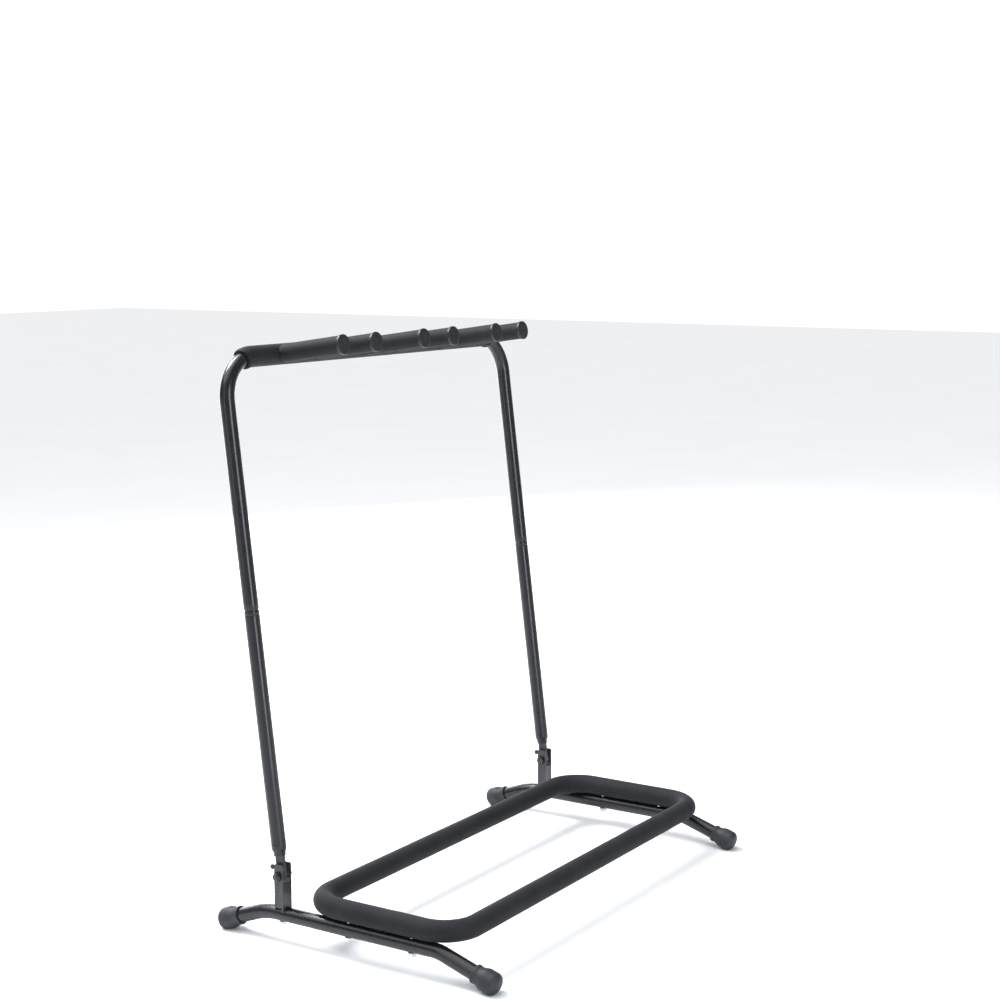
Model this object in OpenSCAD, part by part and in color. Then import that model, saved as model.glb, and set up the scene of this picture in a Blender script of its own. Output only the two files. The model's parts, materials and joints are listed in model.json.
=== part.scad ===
// Folding three-place guitar rack. Two arched cross-legs stand on rubber feet and carry a foam-covered
// base loop. A leaning frame with padded neck pegs folds forward on two hinge brackets, and its upper
// half lifts off the lower uprights. +Z is up, +X runs along the rack and -Y is the guitar side. The
// origin is on the floor, midway between the four feet.

/* [Overall] */
// Distance between the axes of the two uprights
frame_span = 602; // [500:1:760]
// Distance between the front and back foot centres
foot_span = 381; // [330:1:480]
// Height of the crossbar axis above the floor
bar_height = 695; // [560:1:860]
// Backward lean of the uprights, in degrees
lean = 7.2; // [4:0.1:12]

/* [Tubes] */
// Outside diameter of the cross-leg and upright tubes
tube_d = 18; // [16:0.5:22]
// Wall of every steel tube
tube_wall = 1.2; // [0.8:0.1:1.6]
// Outside diameter of the base loop tube
loop_tube_d = 16; // [14:0.5:20]
// Outside diameter of a peg rod
peg_rod_d = 12; // [10:0.5:13]

/* [Cross-legs] */
// Height of the raised middle's axis above the floor
leg_height = 34.5; // [30:0.5:50]
// Straight tube left between a bracket and the start of the bend
bend_gap = 0.8; // [0.7:0.1:10]
// Radius of a leg's front bend, at the tube's axis
front_bend_r = 50; // [40:1:110]
// Radius of a leg's back bend, at the tube's axis
back_bend_r = 100; // [40:1:110]

/* [Feet] */
// Length of a foot
foot_len = 33; // [31:0.5:46]
// Rubber round the leg at a foot's widest part
foot_bulb_wall = 4.6; // [4:0.1:8]
// Rubber round the leg at a foot's mouth
foot_mouth_wall = 2.2; // [1.6:0.1:3]
// Depth of the bore that takes the leg
foot_bore = 25; // [20:0.5:26]
// Distance from the mouth to the foot's centre of contact
foot_centre = 22.5; // [19:0.5:24]
// Height worn off the underside, which gives the flat it stands on
foot_flat = 1.3; // [0.8:0.1:2]
// Gap between the leg and the bore, on the radius
foot_gap = 0.05; // [0:0.05:0.2]

/* [Base loop] */
// Distance between the axes of the front and back rails
loop_depth = 208; // [170:1:250]
// Gap between the loop's foam and the brackets behind it
loop_gap = 20; // [8:0.1:30]
// Radius of the loop's corners, at the tube's axis
loop_corner_r = 42; // [32:1:60]
// Thickness of the loop's foam
loop_foam_t = 5; // [4:0.1:8]
// Gap between a foam sleeve and its tube, on the radius
foam_gap = 0.1; // [0.05:0.05:0.3]
// Length of each sleeve that joins the loop tube's halves
connector_len = 80; // [40:1:120]
// Distance between the two bolts on one leg
loop_bolt_pitch = 90; // [60:1:110]
// Diameter of the loop bolts
loop_bolt_d = 6; // [5:0.5:6]

/* [Hinge brackets] */
// Distance of the pivot axis behind the rack's middle
pivot_back = 106; // [92:0.5:118]
// Height of the pivot axis above the loop's foam
fold_gap = 13; // [8:0.5:18]
// Width of a bracket across its side walls
bracket_w = 16; // [12:0.1:17.6]
// Thickness of the bracket's sheet steel
sheet = 1.6; // [1.2:0.1:1.8]
// Gap between the tongue and the bracket's front wall
web_gap = 0.2; // [0.1:0.1:2]
// Back of the bracket, measured from the pivot
bracket_back = 5.9; // [5.5:0.1:8]
// Top of the side walls, above the pivot
bracket_top = 14.5; // [14:0.1:18]
// Depth of the cut in the front wall, below the pivot
web_cut = 9; // [8:0.1:12]
// Diameter of the pivot bolt
pivot_d = 6; // [5:0.5:6]
// Running clearance of the tongue on the pivot bolt, on the radius
pivot_clearance = 0.05; // [0.02:0.01:0.1]
// Diameter of the stop pin
stop_d = 3; // [2.5:0.1:3.5]
// Height of the stop pin along the upright, above the pivot
stop_rise = 11.5; // [9:0.1:12]
// Diameter of the bolt that holds a bracket on its leg
bracket_bolt_d = 5; // [4:0.5:5]

/* [Uprights] */
// Width of the flat tongue
tongue_w = 11.4; // [9:0.1:11.6]
// Thickness of the flat tongue
tongue_t = 5; // [4:0.1:6]
// Length of the tongue above the pivot
tongue_len = 56; // [50:1:80]
// Height of the lower tube's end above the pivot
neck_start = 24; // [22:0.5:34]
// Gap between the tongue's corners and the narrowed end's bore
neck_gap = 0.09; // [0.05:0.01:0.5]
// Length of the narrowed end
neck_len = 3; // [2:0.5:14]
// Length of the taper above the narrowed end
taper_len = 6; // [5:0.5:16]
// Height of the rivet above the taper
rivet_rise = 4; // [3.5:0.5:12]
// Diameter of the tongue rivet
rivet_d = 4; // [3:0.5:4]
// Height of the joint between lower and upper tubes, above the pivot
joint_rise = 319; // [260:1:400]
// Thickness of the collar that shows between the two tubes
collar_h = 1.6; // [1:0.1:3]
// How far the collar stands inside the tubes' outer surface
collar_step = 0.8; // [0.3:0.1:1]
// Length of the spigot inside the lower tube
spigot_low = 40; // [25:1:60]
// Length of the spigot inside the upper tube
spigot_high = 58; // [50:1:80]
// Wall of the spigot
spigot_wall = 1.9; // [1:0.1:2.5]
// Running clearance of the spigot in the upper tube, on the radius
spigot_clearance = 0.08; // [0.03:0.01:0.1]

/* [Crossbar and pegs] */
// Radius of the upper frame's bends, at the tube's axis
bar_bend_r = 52; // [45:1:90]
// Thickness of the crossbar's foam
bar_foam_t = 4; // [3:0.1:7]
// How far the crossbar's foam follows each bend, along the tube's axis
foam_overlap = 18; // [0:1:30]
// Distance from the crossbar's straight end to its nearest peg
peg_end_gap = 48.4; // [20:0.1:60]
// Distance between the two pegs of one place
peg_gap = 66; // [56:0.5:80]
// Distance from the crossbar axis to a peg's outer end
peg_reach = 104.6; // [90:0.2:130]
// Upward tilt of the pegs from square to the uprights, in degrees
peg_tilt = 1.2; // [0:0.1:3]
// Wall of a peg rod
peg_wall = 1.5; // [1:0.1:2]
// Thickness of a peg's foam
peg_foam_t = 5.5; // [4:0.1:7]
// How far a cap stands out past the foam
cap_rim = 0.85; // [0:0.05:2]
// Thickness of a cap's head
cap_h = 4; // [3:0.1:6]
// Length of the cap's plug inside the rod
cap_plug_len = 14; // [8:1:20]

/* [Hidden] */
PLACES = 3;
PEGS = 2 * PLACES;

STEEL = "#2c2d31";
FOAM = "#3d3f45";
RUBBER = "#4b4e53";
ZINC = "#b9bcc0";
NYLON = "#2a2a2c";
PLASTIC = "#33353a";

$fn = 64;
slip = 0.02;              // gap left between faces that only rest on each other
press = 0.05;             // radial gap of a part pushed into a tube
past = 1;                 // how far a cutting tool runs past a face
hole_gap = 0.2;           // radial clearance of a bolt in its hole
seam_rise = 0.05;         // height of the band left round a bend's two ends
seam_w = 1.2;             // width of that band
half_span = frame_span / 2;
tube_r = tube_d / 2;
tube_bore_r = tube_r - tube_wall;

// Cross-leg and foot: the leg's end is the tangent from the foot's centre to the bend
foot_bulb_r = tube_r + foot_bulb_wall;
foot_mouth_r = tube_r + foot_mouth_wall;
leg_mid_len = 2 * (pivot_back + bracket_back + bend_gap);
leg_drop = leg_height - foot_bulb_r + foot_flat;
leg_reach = (foot_span - leg_mid_len) / 2;
leg_top = leg_height + tube_r;
leg_bottom = leg_height - tube_r;

// Base loop
bracket_front = tongue_w / 2 + web_gap + sheet;
loop_foam_d = loop_tube_d + 2 * loop_foam_t;
loop_z = leg_top + loop_foam_d / 2 + slip;
loop_back = pivot_back - bracket_front - loop_gap - loop_foam_d / 2;
loop_front = loop_back - loop_depth;
loop_end_len = loop_depth - 2 * loop_corner_r;
loop_rail_len = half_span - loop_corner_r;
rivet_nut_d = loop_bolt_d + 3;
rivet_nut_len = 11;
rivet_nut_flange = 0.8;
foam_hole_gap = 1.5;      // radial gap between a rivet nut and the foam
loop_bolt_tip = 8;        // length of bolt inside the rivet nut
nut_mouth = loop_z - loop_tube_d / 2 - rivet_nut_flange;
head_h = 4;               // height of an M6 bolt head
nut_h = 5;                // height of an M6 nut
head_flats = 10;          // width of M6 heads and nuts across their flats

// Bracket and pivot
pivot_rise = loop_foam_d + fold_gap;
pivot_z = leg_top + pivot_rise;
bracket_inner = bracket_w - 2 * sheet;
bracket_depth = bracket_front + bracket_back;
bracket_corner_r = 2.5;
small_head_flats = bracket_bolt_d + 3;
small_head_h = 3.4;
small_nut_h = 4;
notch_w = 9.6;            // width of the notch in each skirt
ear_r = stop_d / 2 + 1.6;
stop_back = tongue_w / 2 + stop_d / 2 + slip;
stop_head_h = 1.4;
stop_head_d = stop_d + 1.8;
washer_gap = 0.1;         // end float of a washer
washer_t = (bracket_inner - tongue_t) / 2 - washer_gap;
washer_d = tongue_w;

// Uprights
neck_r = norm([tongue_w, tongue_t]) / 2 + neck_gap + tube_wall;
rivet_head_h = 1.3;
rivet_head_d = rivet_d + 2.4;
rivet_z = neck_start + neck_len + taper_len + rivet_rise;
bar_rise = (bar_height - pivot_z) / cos(lean);
upper_start = joint_rise + collar_h + slip;
upper_leg_len = bar_rise - bar_bend_r - upper_start;
bar_len = frame_span - 2 * bar_bend_r;
foam_angle = foam_overlap / bar_bend_r * 180 / PI;
edge_roll = 0.8 * tube_wall;    // rounding of the lower tube's top edge
collar_r = tube_r - collar_step;
spigot_lead = 2;          // length of the spigot's chamfered tip

// Pegs
bar_foam_d = tube_d + 2 * bar_foam_t;
peg_foam_d = peg_rod_d + 2 * peg_foam_t;
place_pitch = (bar_len - peg_gap - 2 * peg_end_gap) / (PLACES - 1);
peg_tip = peg_reach - cap_h;
peg_root = sqrt(pow(tube_bore_r, 2) - pow(peg_rod_d / 2, 2)) - slip;
peg_foam_bed = 2;         // how deep a peg's foam is shaped round the crossbar's
peg_foam_start = bar_foam_d / 2 - peg_foam_bed;
cap_r = peg_foam_d / 2 + cap_rim;
cap_plug_r = peg_rod_d / 2 - peg_wall - press;
cap_round = 1.1;
cap_crown = 0.4;          // rise of a cap's face between rim and middle

function peg_x(i) = (floor(i / 2) - (PLACES - 1) / 2) * place_pitch + (i % 2 - 0.5) * peg_gap;
function across_corners(flats) = flats / cos(30);

// Bend, slope and straight end of a leg, for the front (-1) or the back (1)
function leg_bend_r(end) = end > 0 ? back_bend_r : front_bend_r;
function bend_to_foot(end) = norm([leg_reach, leg_bend_r(end) - leg_drop]);
function leg_slope(end) =
    atan2(leg_reach, leg_bend_r(end) - leg_drop) - acos(leg_bend_r(end) / bend_to_foot(end));
function leg_end_len(end) =
    sqrt(pow(bend_to_foot(end), 2) - pow(leg_bend_r(end), 2)) + foot_bore - foot_centre;

// ---- Building blocks ----

// Tube section
module ring(d, wall) {
    difference() {
        circle(d = d);
        circle(d = d - 2 * wall);
    }
}

// Straight tube along +Z
module tube_run(d, wall, len) {
    linear_extrude(len) ring(d, wall);
}

// Tube that starts along +Z and turns towards +X
module tube_bend(d, wall, radius, angle) {
    translate([radius, 0, 0])
        rotate([90, 0, 0])
            mirror([1, 0, 0])
                rotate_extrude(angle = angle) translate([radius, 0]) ring(d, wall);
}

// Frame at the end of such a bend
module after_bend(radius, angle) {
    translate([radius * (1 - cos(angle)), 0, radius * sin(angle)]) rotate([0, angle, 0]) children();
}

module hex(flats, h) {
    cylinder(h = h, d = across_corners(flats), $fn = 6);
}

// +1 is the right-hand side and -1 the left: the piece is mirrored with its outer side outwards
module at_side(side) {
    translate([side * half_span, 0, 0]) mirror([side > 0 ? 1 : 0, 0, 0]) children();
}

module both_sides() {
    for (side = [-1, 1]) at_side(side) children();
}

// Frame of the leaning uprights: origin on the pivot axis, +Z along the upright
module in_lean() {
    translate([0, pivot_back, pivot_z]) rotate([-lean, 0, 0]) children();
}

// ---- Cross-legs and feet ----

// Frame where the raised middle turns down: +Z along the tube and +X down. End is +1 back, -1 front
module at_leg_bend(end) {
    mirror([0, end < 0 ? 1 : 0, 0])
        translate([0, leg_mid_len / 2, leg_height])
            rotate([-90, 0, 0]) rotate([0, 0, 90]) children();
}

module at_leg_end(end) {
    at_leg_bend(end) after_bend(leg_bend_r(end), leg_slope(end))
        translate([0, 0, leg_end_len(end)]) children();
}

// Places of the bolts between one leg and the loop
module at_loop_bolts() {
    for (s = [-1, 1]) translate([0, (loop_front + loop_back + s * loop_bolt_pitch) / 2, 0]) children();
}

module leg_bolt_holes() {
    at_loop_bolts() translate([0, 0, leg_bottom - past])
        cylinder(h = tube_d + 2 * past, r = loop_bolt_d / 2 + hole_gap);
    translate([0, pivot_back, leg_bottom - past])
        cylinder(h = tube_d + 2 * past, r = bracket_bolt_d / 2 + hole_gap);
}

// Low band round the start of a tube, where a bend meets it
module seam_band(d, wall) {
    translate([0, 0, -seam_w / 2]) tube_run(d + 2 * seam_rise, wall + 2 * seam_rise, seam_w);
}

module cross_leg(side) {
    color(STEEL) at_side(side) difference() {
        union() {
            translate([0, -leg_mid_len / 2, leg_height])
                rotate([-90, 0, 0]) tube_run(tube_d, tube_wall, leg_mid_len);
            for (end = [-1, 1]) at_leg_bend(end) {
                seam_band(tube_d, tube_wall);
                tube_bend(tube_d, tube_wall, leg_bend_r(end), leg_slope(end));
                after_bend(leg_bend_r(end), leg_slope(end)) {
                    seam_band(tube_d, tube_wall);
                    tube_run(tube_d, tube_wall, leg_end_len(end));
                }
            }
        }
        leg_bolt_holes();
    }
}

// Half outline of a foot, from its lipped mouth through a smooth flare to its domed end
function foot_outline() =
    let (
        lip = 0.9, lip_h = 4, flare_start = lip_h + lip, flare_end = foot_centre - 6,
        dome_h = 8, dome_start = foot_len - dome_h, dome_flat = 0.35,
        waist_r = foot_mouth_r - lip / 2
    )
    concat(
        [[0, 0], [foot_mouth_r - lip, 0], [foot_mouth_r, lip], [foot_mouth_r, lip_h]],
        [for (t = [0:0.125:1])
            [waist_r + (foot_bulb_r - waist_r) * (1 - cos(180 * t)) / 2,
             flare_start + (flare_end - flare_start) * t]],
        [for (a = [0:15:75])
            [foot_bulb_r * (dome_flat + (1 - dome_flat) * cos(a)), dome_start + dome_h * sin(a)]],
        [[0, foot_len]]
    );

module foot(side, end) {
    color(RUBBER) at_side(side) difference() {
        at_leg_end(end) translate([0, 0, -foot_bore]) difference() {
            rotate_extrude() polygon(foot_outline());
            translate([0, 0, -past]) cylinder(h = foot_bore + past, r = tube_r + foot_gap);
        }
        translate([-foot_span, -foot_span, -foot_span]) cube([2 * foot_span, 2 * foot_span, foot_span]);
    }
}

// ---- Base loop ----

// The half of a closed loop on the left of the middle, as a tube of the given section
module loop_half(d, wall) {
    for (y = [loop_front, loop_back])
        translate([-loop_rail_len, y, loop_z]) rotate([0, 90, 0]) tube_run(d, wall, loop_rail_len);
    translate([-half_span, loop_front + loop_corner_r, loop_z])
        rotate([-90, 0, 0]) tube_run(d, wall, loop_end_len);
    for (corner = [[loop_front + loop_corner_r, 180], [loop_back - loop_corner_r, 90]])
        translate([-loop_rail_len, corner[0], loop_z])
            rotate([0, 0, corner[1]])
                rotate_extrude(angle = 90) translate([loop_corner_r, 0]) ring(d, wall);
}

module loop_tube(side) {
    color(STEEL) mirror([side > 0 ? 1 : 0, 0, 0]) difference() {
        loop_half(loop_tube_d, tube_wall);
        at_side(-1) at_loop_bolts()
            translate([0, 0, loop_z - loop_tube_d]) cylinder(h = loop_tube_d, d = rivet_nut_d + 2 * press);
    }
}

module loop_connectors() {
    color(STEEL) for (y = [loop_front, loop_back])
        translate([-connector_len / 2, y, loop_z])
            rotate([0, 90, 0]) tube_run(loop_tube_d - 2 * (tube_wall + press), tube_wall, connector_len);
}

module loop_foam() {
    color(FOAM) difference() {
        for (side = [0, 1]) mirror([side, 0, 0]) loop_half(loop_foam_d, loop_foam_t - foam_gap);
        both_sides() at_loop_bolts() translate([0, 0, leg_top - past])
            cylinder(h = loop_foam_d / 2 + past, r = rivet_nut_d / 2 + foam_hole_gap);
    }
}

module loop_bolts() {
    color(ZINC) both_sides() at_loop_bolts() {
        translate([0, 0, leg_bottom - head_h]) hex(head_flats, head_h);
        translate([0, 0, leg_bottom - head_h / 2])
            cylinder(h = nut_mouth + loop_bolt_tip - leg_bottom + head_h / 2, d = loop_bolt_d);
    }
}

module loop_rivet_nuts() {
    color(ZINC) both_sides() at_loop_bolts() translate([0, 0, nut_mouth]) difference() {
        union() {
            cylinder(h = rivet_nut_flange, d = rivet_nut_d + 2);
            cylinder(h = rivet_nut_len, d = rivet_nut_d);
        }
        translate([0, 0, -past]) cylinder(h = rivet_nut_len + 2 * past, d = loop_bolt_d + 2 * press);
    }
}

// ---- Hinge brackets ----

// Rectangle with round top corners, its lower left corner at the origin
module round_topped(w, h, r) {
    square([w, h - r]);
    translate([r, h - r]) square([w - 2 * r, r]);
    for (x = [r, w - r]) translate([x, h - r]) circle(r = r);
}

// Outline of a side wall in the bracket's own Y and Z, with the ear that holds the stop pin
module side_wall_outline() {
    translate([-bracket_front, leg_height - pivot_z])
        round_topped(bracket_depth, pivot_z - leg_height + bracket_top, bracket_corner_r);
    rotate(-lean) translate([stop_back, stop_rise]) circle(r = ear_r);
}

// Frame at a bracket's pivot with X kept, so that a linear_extrude along it lies across the rack
module at_pivot(side) {
    at_side(side) translate([0, pivot_back, pivot_z]) children();
}

module across(width) {
    rotate([90, 0, 90]) translate([0, 0, -width / 2]) linear_extrude(width) children();
}

module bracket(side) {
    color(STEEL) difference() {
        at_pivot(side) union() {
            for (x = [-1, 1])
                translate([x * (bracket_w - sheet) / 2, 0, 0]) across(sheet) side_wall_outline();
            translate([-bracket_w / 2 + sheet / 2, -bracket_front, leg_height - pivot_z])
                cube([bracket_w - sheet, sheet, pivot_rise + tube_r - web_cut]);
            translate([-bracket_w / 2 + sheet / 2, -bracket_front, -pivot_rise + slip])
                cube([bracket_w - sheet, bracket_depth, sheet]);
        }
        // Saddle that sits on the leg
        at_side(side) translate([0, pivot_back - bracket_depth, leg_height]) {
            rotate([-90, 0, 0]) cylinder(h = 2 * bracket_depth, r = tube_r + slip);
            translate([-bracket_w, 0, -tube_r]) cube([2 * bracket_w, 2 * bracket_depth, tube_r + past]);
        }
        // Notch in each skirt, which leaves the top of the leg bare
        at_pivot(side) translate([-bracket_w, -notch_w / 2, -pivot_rise - tube_r])
            cube([2 * bracket_w, notch_w, tube_r]);
        at_pivot(side) translate([0, 0, -pivot_rise - past])
            cylinder(h = sheet + 2 * past, r = bracket_bolt_d / 2 + hole_gap);
        at_pivot(side) rotate([0, 90, 0])
            cylinder(h = 2 * bracket_w, d = pivot_d + 2 * press, center = true);
        at_side(side) in_lean() translate([0, stop_back, stop_rise]) rotate([0, 90, 0])
            cylinder(h = 2 * bracket_w, d = stop_d + 2 * press, center = true);
    }
}

module bracket_bolts() {
    color(ZINC) both_sides() translate([0, pivot_back, 0]) {
        translate([0, 0, leg_top + sheet + 2 * slip])
            rotate([0, 0, 30]) hex(small_head_flats, small_head_h);
        translate([0, 0, leg_bottom - small_nut_h - past])
            cylinder(h = tube_d + small_nut_h + sheet + 2 * past, d = bracket_bolt_d);
    }
}

module bracket_nuts() {
    color(ZINC) both_sides() translate([0, pivot_back, leg_bottom - small_nut_h - slip]) difference() {
        hex(small_head_flats, small_nut_h);
        translate([0, 0, -past]) cylinder(h = small_nut_h + 2 * past, d = bracket_bolt_d + 2 * press);
    }
}

// The bolt's head is on the inner side of each bracket and its nut on the outer side
module pivot_bolts() {
    color(STEEL) both_sides() translate([0, pivot_back, pivot_z]) rotate([0, 90, 0]) {
        translate([0, 0, bracket_w / 2 + slip]) hex(head_flats, head_h);
        translate([0, 0, -bracket_w / 2 - nut_h - past])
            cylinder(h = bracket_w + nut_h + 2 * past, d = pivot_d);
    }
}

module pivot_nuts() {
    color(STEEL) both_sides() translate([-bracket_w / 2 - nut_h - slip, pivot_back, pivot_z])
        rotate([0, 90, 0]) difference() {
            hex(head_flats, nut_h);
            translate([0, 0, -past]) cylinder(h = nut_h + 2 * past, d = pivot_d + 2 * press);
        }
}

module pivot_washers() {
    color(NYLON) both_sides() for (x = [-1, 1])
        translate([x * (tongue_t + bracket_inner) / 4, pivot_back, pivot_z])
            rotate([0, 90, 0]) difference() {
                cylinder(h = washer_t, d = washer_d, center = true);
                cylinder(h = washer_t + 2 * past, d = pivot_d + 2 * press, center = true);
            }
}

module stop_pins() {
    color(STEEL) both_sides() in_lean() translate([0, stop_back, stop_rise]) rotate([0, 90, 0]) {
        cylinder(h = bracket_w + 2 * stop_head_h, d = stop_d, center = true);
        for (x = [-1, 1]) translate([0, 0, x * (bracket_w + stop_head_h + 2 * slip) / 2])
            cylinder(h = stop_head_h, d = stop_head_d, center = true);
    }
}

// ---- Lower uprights ----

module tongue(side) {
    color(STEEL) at_side(side) in_lean() across(tongue_t) difference() {
        union() {
            circle(d = tongue_w);
            translate([-tongue_w / 2, 0]) square([tongue_w, tongue_len]);
        }
        circle(r = pivot_d / 2 + pivot_clearance);
        translate([0, rivet_z]) circle(d = rivet_d + 2 * press);
    }
}

module tongue_rivets() {
    color(STEEL) both_sides() in_lean() translate([0, 0, rivet_z]) rotate([0, 90, 0]) {
        cylinder(h = tube_d + rivet_head_h, d = rivet_d, center = true);
        for (x = [-1, 1]) translate([0, 0, x * (tube_r + rivet_head_h / 2)])
            cylinder(h = rivet_head_h, d = rivet_head_d, center = true);
    }
}

// Tube with a narrowed lower end and a rolled top edge
module lower_upright(side) {
    taper_start = neck_start + neck_len;
    color(STEEL) at_side(side) in_lean() difference() {
        rotate_extrude() polygon(concat(
            [[neck_r - tube_wall, neck_start], [neck_r, neck_start], [neck_r, taper_start]],
            [[tube_r, taper_start + taper_len]],
            [for (a = [0:30:90])
                [tube_r - edge_roll * (1 - cos(a)), joint_rise - edge_roll * (1 - sin(a))]],
            [[tube_bore_r, joint_rise], [tube_bore_r, taper_start + taper_len]],
            [[neck_r - tube_wall, taper_start]]
        ));
        translate([0, 0, rivet_z]) rotate([0, 90, 0])
            cylinder(h = 2 * tube_d, d = rivet_d + 2 * press, center = true);
    }
}

// Plug with a collar: the lower part is pushed into the lower tube, the upper part guides the upper tube
module spigot(side) {
    low_r = tube_bore_r - press;
    high_r = tube_bore_r - spigot_clearance;
    bore_r = high_r - spigot_wall;
    color(STEEL) at_side(side) in_lean() translate([0, 0, joint_rise]) rotate_extrude() polygon([
        [bore_r, -spigot_low], [low_r, -spigot_low], [low_r, slip], [collar_r, slip],
        [collar_r, collar_h], [high_r, collar_h], [high_r, spigot_high - spigot_lead],
        [high_r - spigot_wall / 2, spigot_high], [bore_r, spigot_high]
    ]);
}

// ---- Upper frame ----

// Frame of one peg: origin on the crossbar axis, +Z out along the peg
module at_peg(i) {
    in_lean() translate([peg_x(i), 0, bar_rise]) rotate([90 - peg_tilt, 0, 0]) children();
}

module upper_frame_tube() {
    color(STEEL) difference() {
        union() {
            for (side = [0, 1]) mirror([side, 0, 0]) in_lean() translate([-half_span, 0, upper_start]) {
                tube_run(tube_d, tube_wall, upper_leg_len);
                translate([0, 0, upper_leg_len]) tube_bend(tube_d, tube_wall, bar_bend_r, 90);
            }
            in_lean() translate([-bar_len / 2, 0, bar_rise]) rotate([0, 90, 0])
                tube_run(tube_d, tube_wall, bar_len);
        }
        for (i = [0:PEGS - 1]) at_peg(i) cylinder(h = tube_d, d = peg_rod_d + 2 * press);
    }
}

module crossbar_foam() {
    color(FOAM) difference() {
        union() {
            in_lean() translate([-bar_len / 2, 0, bar_rise]) rotate([0, 90, 0])
                tube_run(bar_foam_d, bar_foam_t - foam_gap, bar_len);
            for (side = [0, 1]) mirror([side, 0, 0])
                in_lean() translate([bar_len / 2, 0, bar_rise]) rotate([0, 90, 0])
                    tube_bend(bar_foam_d, bar_foam_t - foam_gap, bar_bend_r, foam_angle);
        }
        for (i = [0:PEGS - 1]) at_peg(i) cylinder(h = bar_foam_d, d = peg_rod_d + 2 * foam_gap);
    }
}

// The rod's inner end stands on the back of the crossbar's bore
module peg_rod(i) {
    color(STEEL) at_peg(i) translate([0, 0, -peg_root])
        tube_run(peg_rod_d, peg_wall, peg_root + peg_tip - slip);
}

module peg_foam(i) {
    color(FOAM) difference() {
        at_peg(i) translate([0, 0, peg_foam_start])
            tube_run(peg_foam_d, peg_foam_t - foam_gap, peg_tip - slip - peg_foam_start);
        in_lean() translate([-bar_len / 2, 0, bar_rise]) rotate([0, 90, 0])
            cylinder(h = bar_len, d = bar_foam_d + 2 * foam_gap);
    }
}

module peg_cap(i) {
    chamfer = 0.6;
    rim_h = cap_h - cap_crown;
    color(PLASTIC) at_peg(i) translate([0, 0, peg_tip]) rotate_extrude() polygon(concat(
        [[0, -cap_plug_len], [cap_plug_r - chamfer, -cap_plug_len], [cap_plug_r, chamfer - cap_plug_len]],
        [[cap_plug_r, 0], [cap_r - chamfer / 2, 0], [cap_r, chamfer / 2]],
        [for (a = [0:22.5:90]) [cap_r - cap_round * (1 - cos(a)), rim_h - cap_round * (1 - sin(a))]],
        [[cap_r / 2, cap_h - cap_crown / 4], [0, cap_h]]
    ));
}

// ---- Assembly ----

cross_leg(-1);  // left_cross_leg
cross_leg(1);  // right_cross_leg
foot(-1, -1);  // left_front_foot
foot(-1, 1);  // left_back_foot
foot(1, -1);  // right_front_foot
foot(1, 1);  // right_back_foot
loop_tube(-1);  // left_loop_tube
loop_tube(1);  // right_loop_tube
loop_connectors();
loop_foam();
loop_bolts();
loop_rivet_nuts();
bracket(-1);  // left_bracket
bracket(1);  // right_bracket
bracket_bolts();
bracket_nuts();
pivot_bolts();
pivot_nuts();
pivot_washers();
stop_pins();
tongue(-1);  // left_tongue
tongue(1);  // right_tongue
tongue_rivets();
lower_upright(-1);  // left_lower_upright
lower_upright(1);  // right_lower_upright
spigot(-1);  // left_spigot
spigot(1);  // right_spigot
upper_frame_tube();
crossbar_foam();
for (i = [0:PEGS - 1]) {
    peg_rod(i);
    peg_foam(i);
    peg_cap(i);
}
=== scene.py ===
"""A folding three-place guitar rack: foam sleeves, painted tubes, rubber feet, moulded caps and hardware."""

import json
import math

import bmesh
import bpy
import numpy as np
from mathutils import Matrix, Vector, noise


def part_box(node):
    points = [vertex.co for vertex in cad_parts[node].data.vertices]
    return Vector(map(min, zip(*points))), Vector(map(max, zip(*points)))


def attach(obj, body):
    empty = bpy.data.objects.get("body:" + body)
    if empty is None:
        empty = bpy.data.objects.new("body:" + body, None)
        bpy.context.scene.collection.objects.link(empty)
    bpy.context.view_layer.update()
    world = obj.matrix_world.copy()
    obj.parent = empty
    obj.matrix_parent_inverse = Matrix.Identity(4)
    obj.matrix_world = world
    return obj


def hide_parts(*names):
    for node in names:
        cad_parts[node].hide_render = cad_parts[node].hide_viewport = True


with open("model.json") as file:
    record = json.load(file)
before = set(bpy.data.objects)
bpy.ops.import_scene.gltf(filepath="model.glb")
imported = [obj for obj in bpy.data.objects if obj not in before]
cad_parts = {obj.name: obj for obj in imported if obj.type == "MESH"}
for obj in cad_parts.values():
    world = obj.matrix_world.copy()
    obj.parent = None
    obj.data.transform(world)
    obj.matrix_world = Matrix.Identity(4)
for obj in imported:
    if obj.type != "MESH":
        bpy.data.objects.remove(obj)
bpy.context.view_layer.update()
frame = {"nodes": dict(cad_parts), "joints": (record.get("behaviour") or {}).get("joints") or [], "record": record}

MM = 0.001
TAU = 2 * math.pi
PEGS = range(1, 7)
SIDES = {"left": -1, "right": 1}
X_AXIS = Vector((1, 0, 0))
Y_AXIS = Vector((0, 1, 0))
Z_AXIS = Vector((0, 0, 1))


# ---- What the frame says ----

def joint(name):
    return next(j for j in frame["joints"] if j["name"] == name)


def box(name):
    low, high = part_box(name)
    return Vector(low), Vector(high)


def centre(name):
    low, high = box(name)
    return (low + high) / 2


def node_points(name):
    """A CAD node's vertices, as an array with one row each."""
    mesh = frame["nodes"][name].data
    points = np.empty(len(mesh.vertices) * 3)
    mesh.vertices.foreach_get("co", points)
    return points.reshape(-1, 3)


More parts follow.
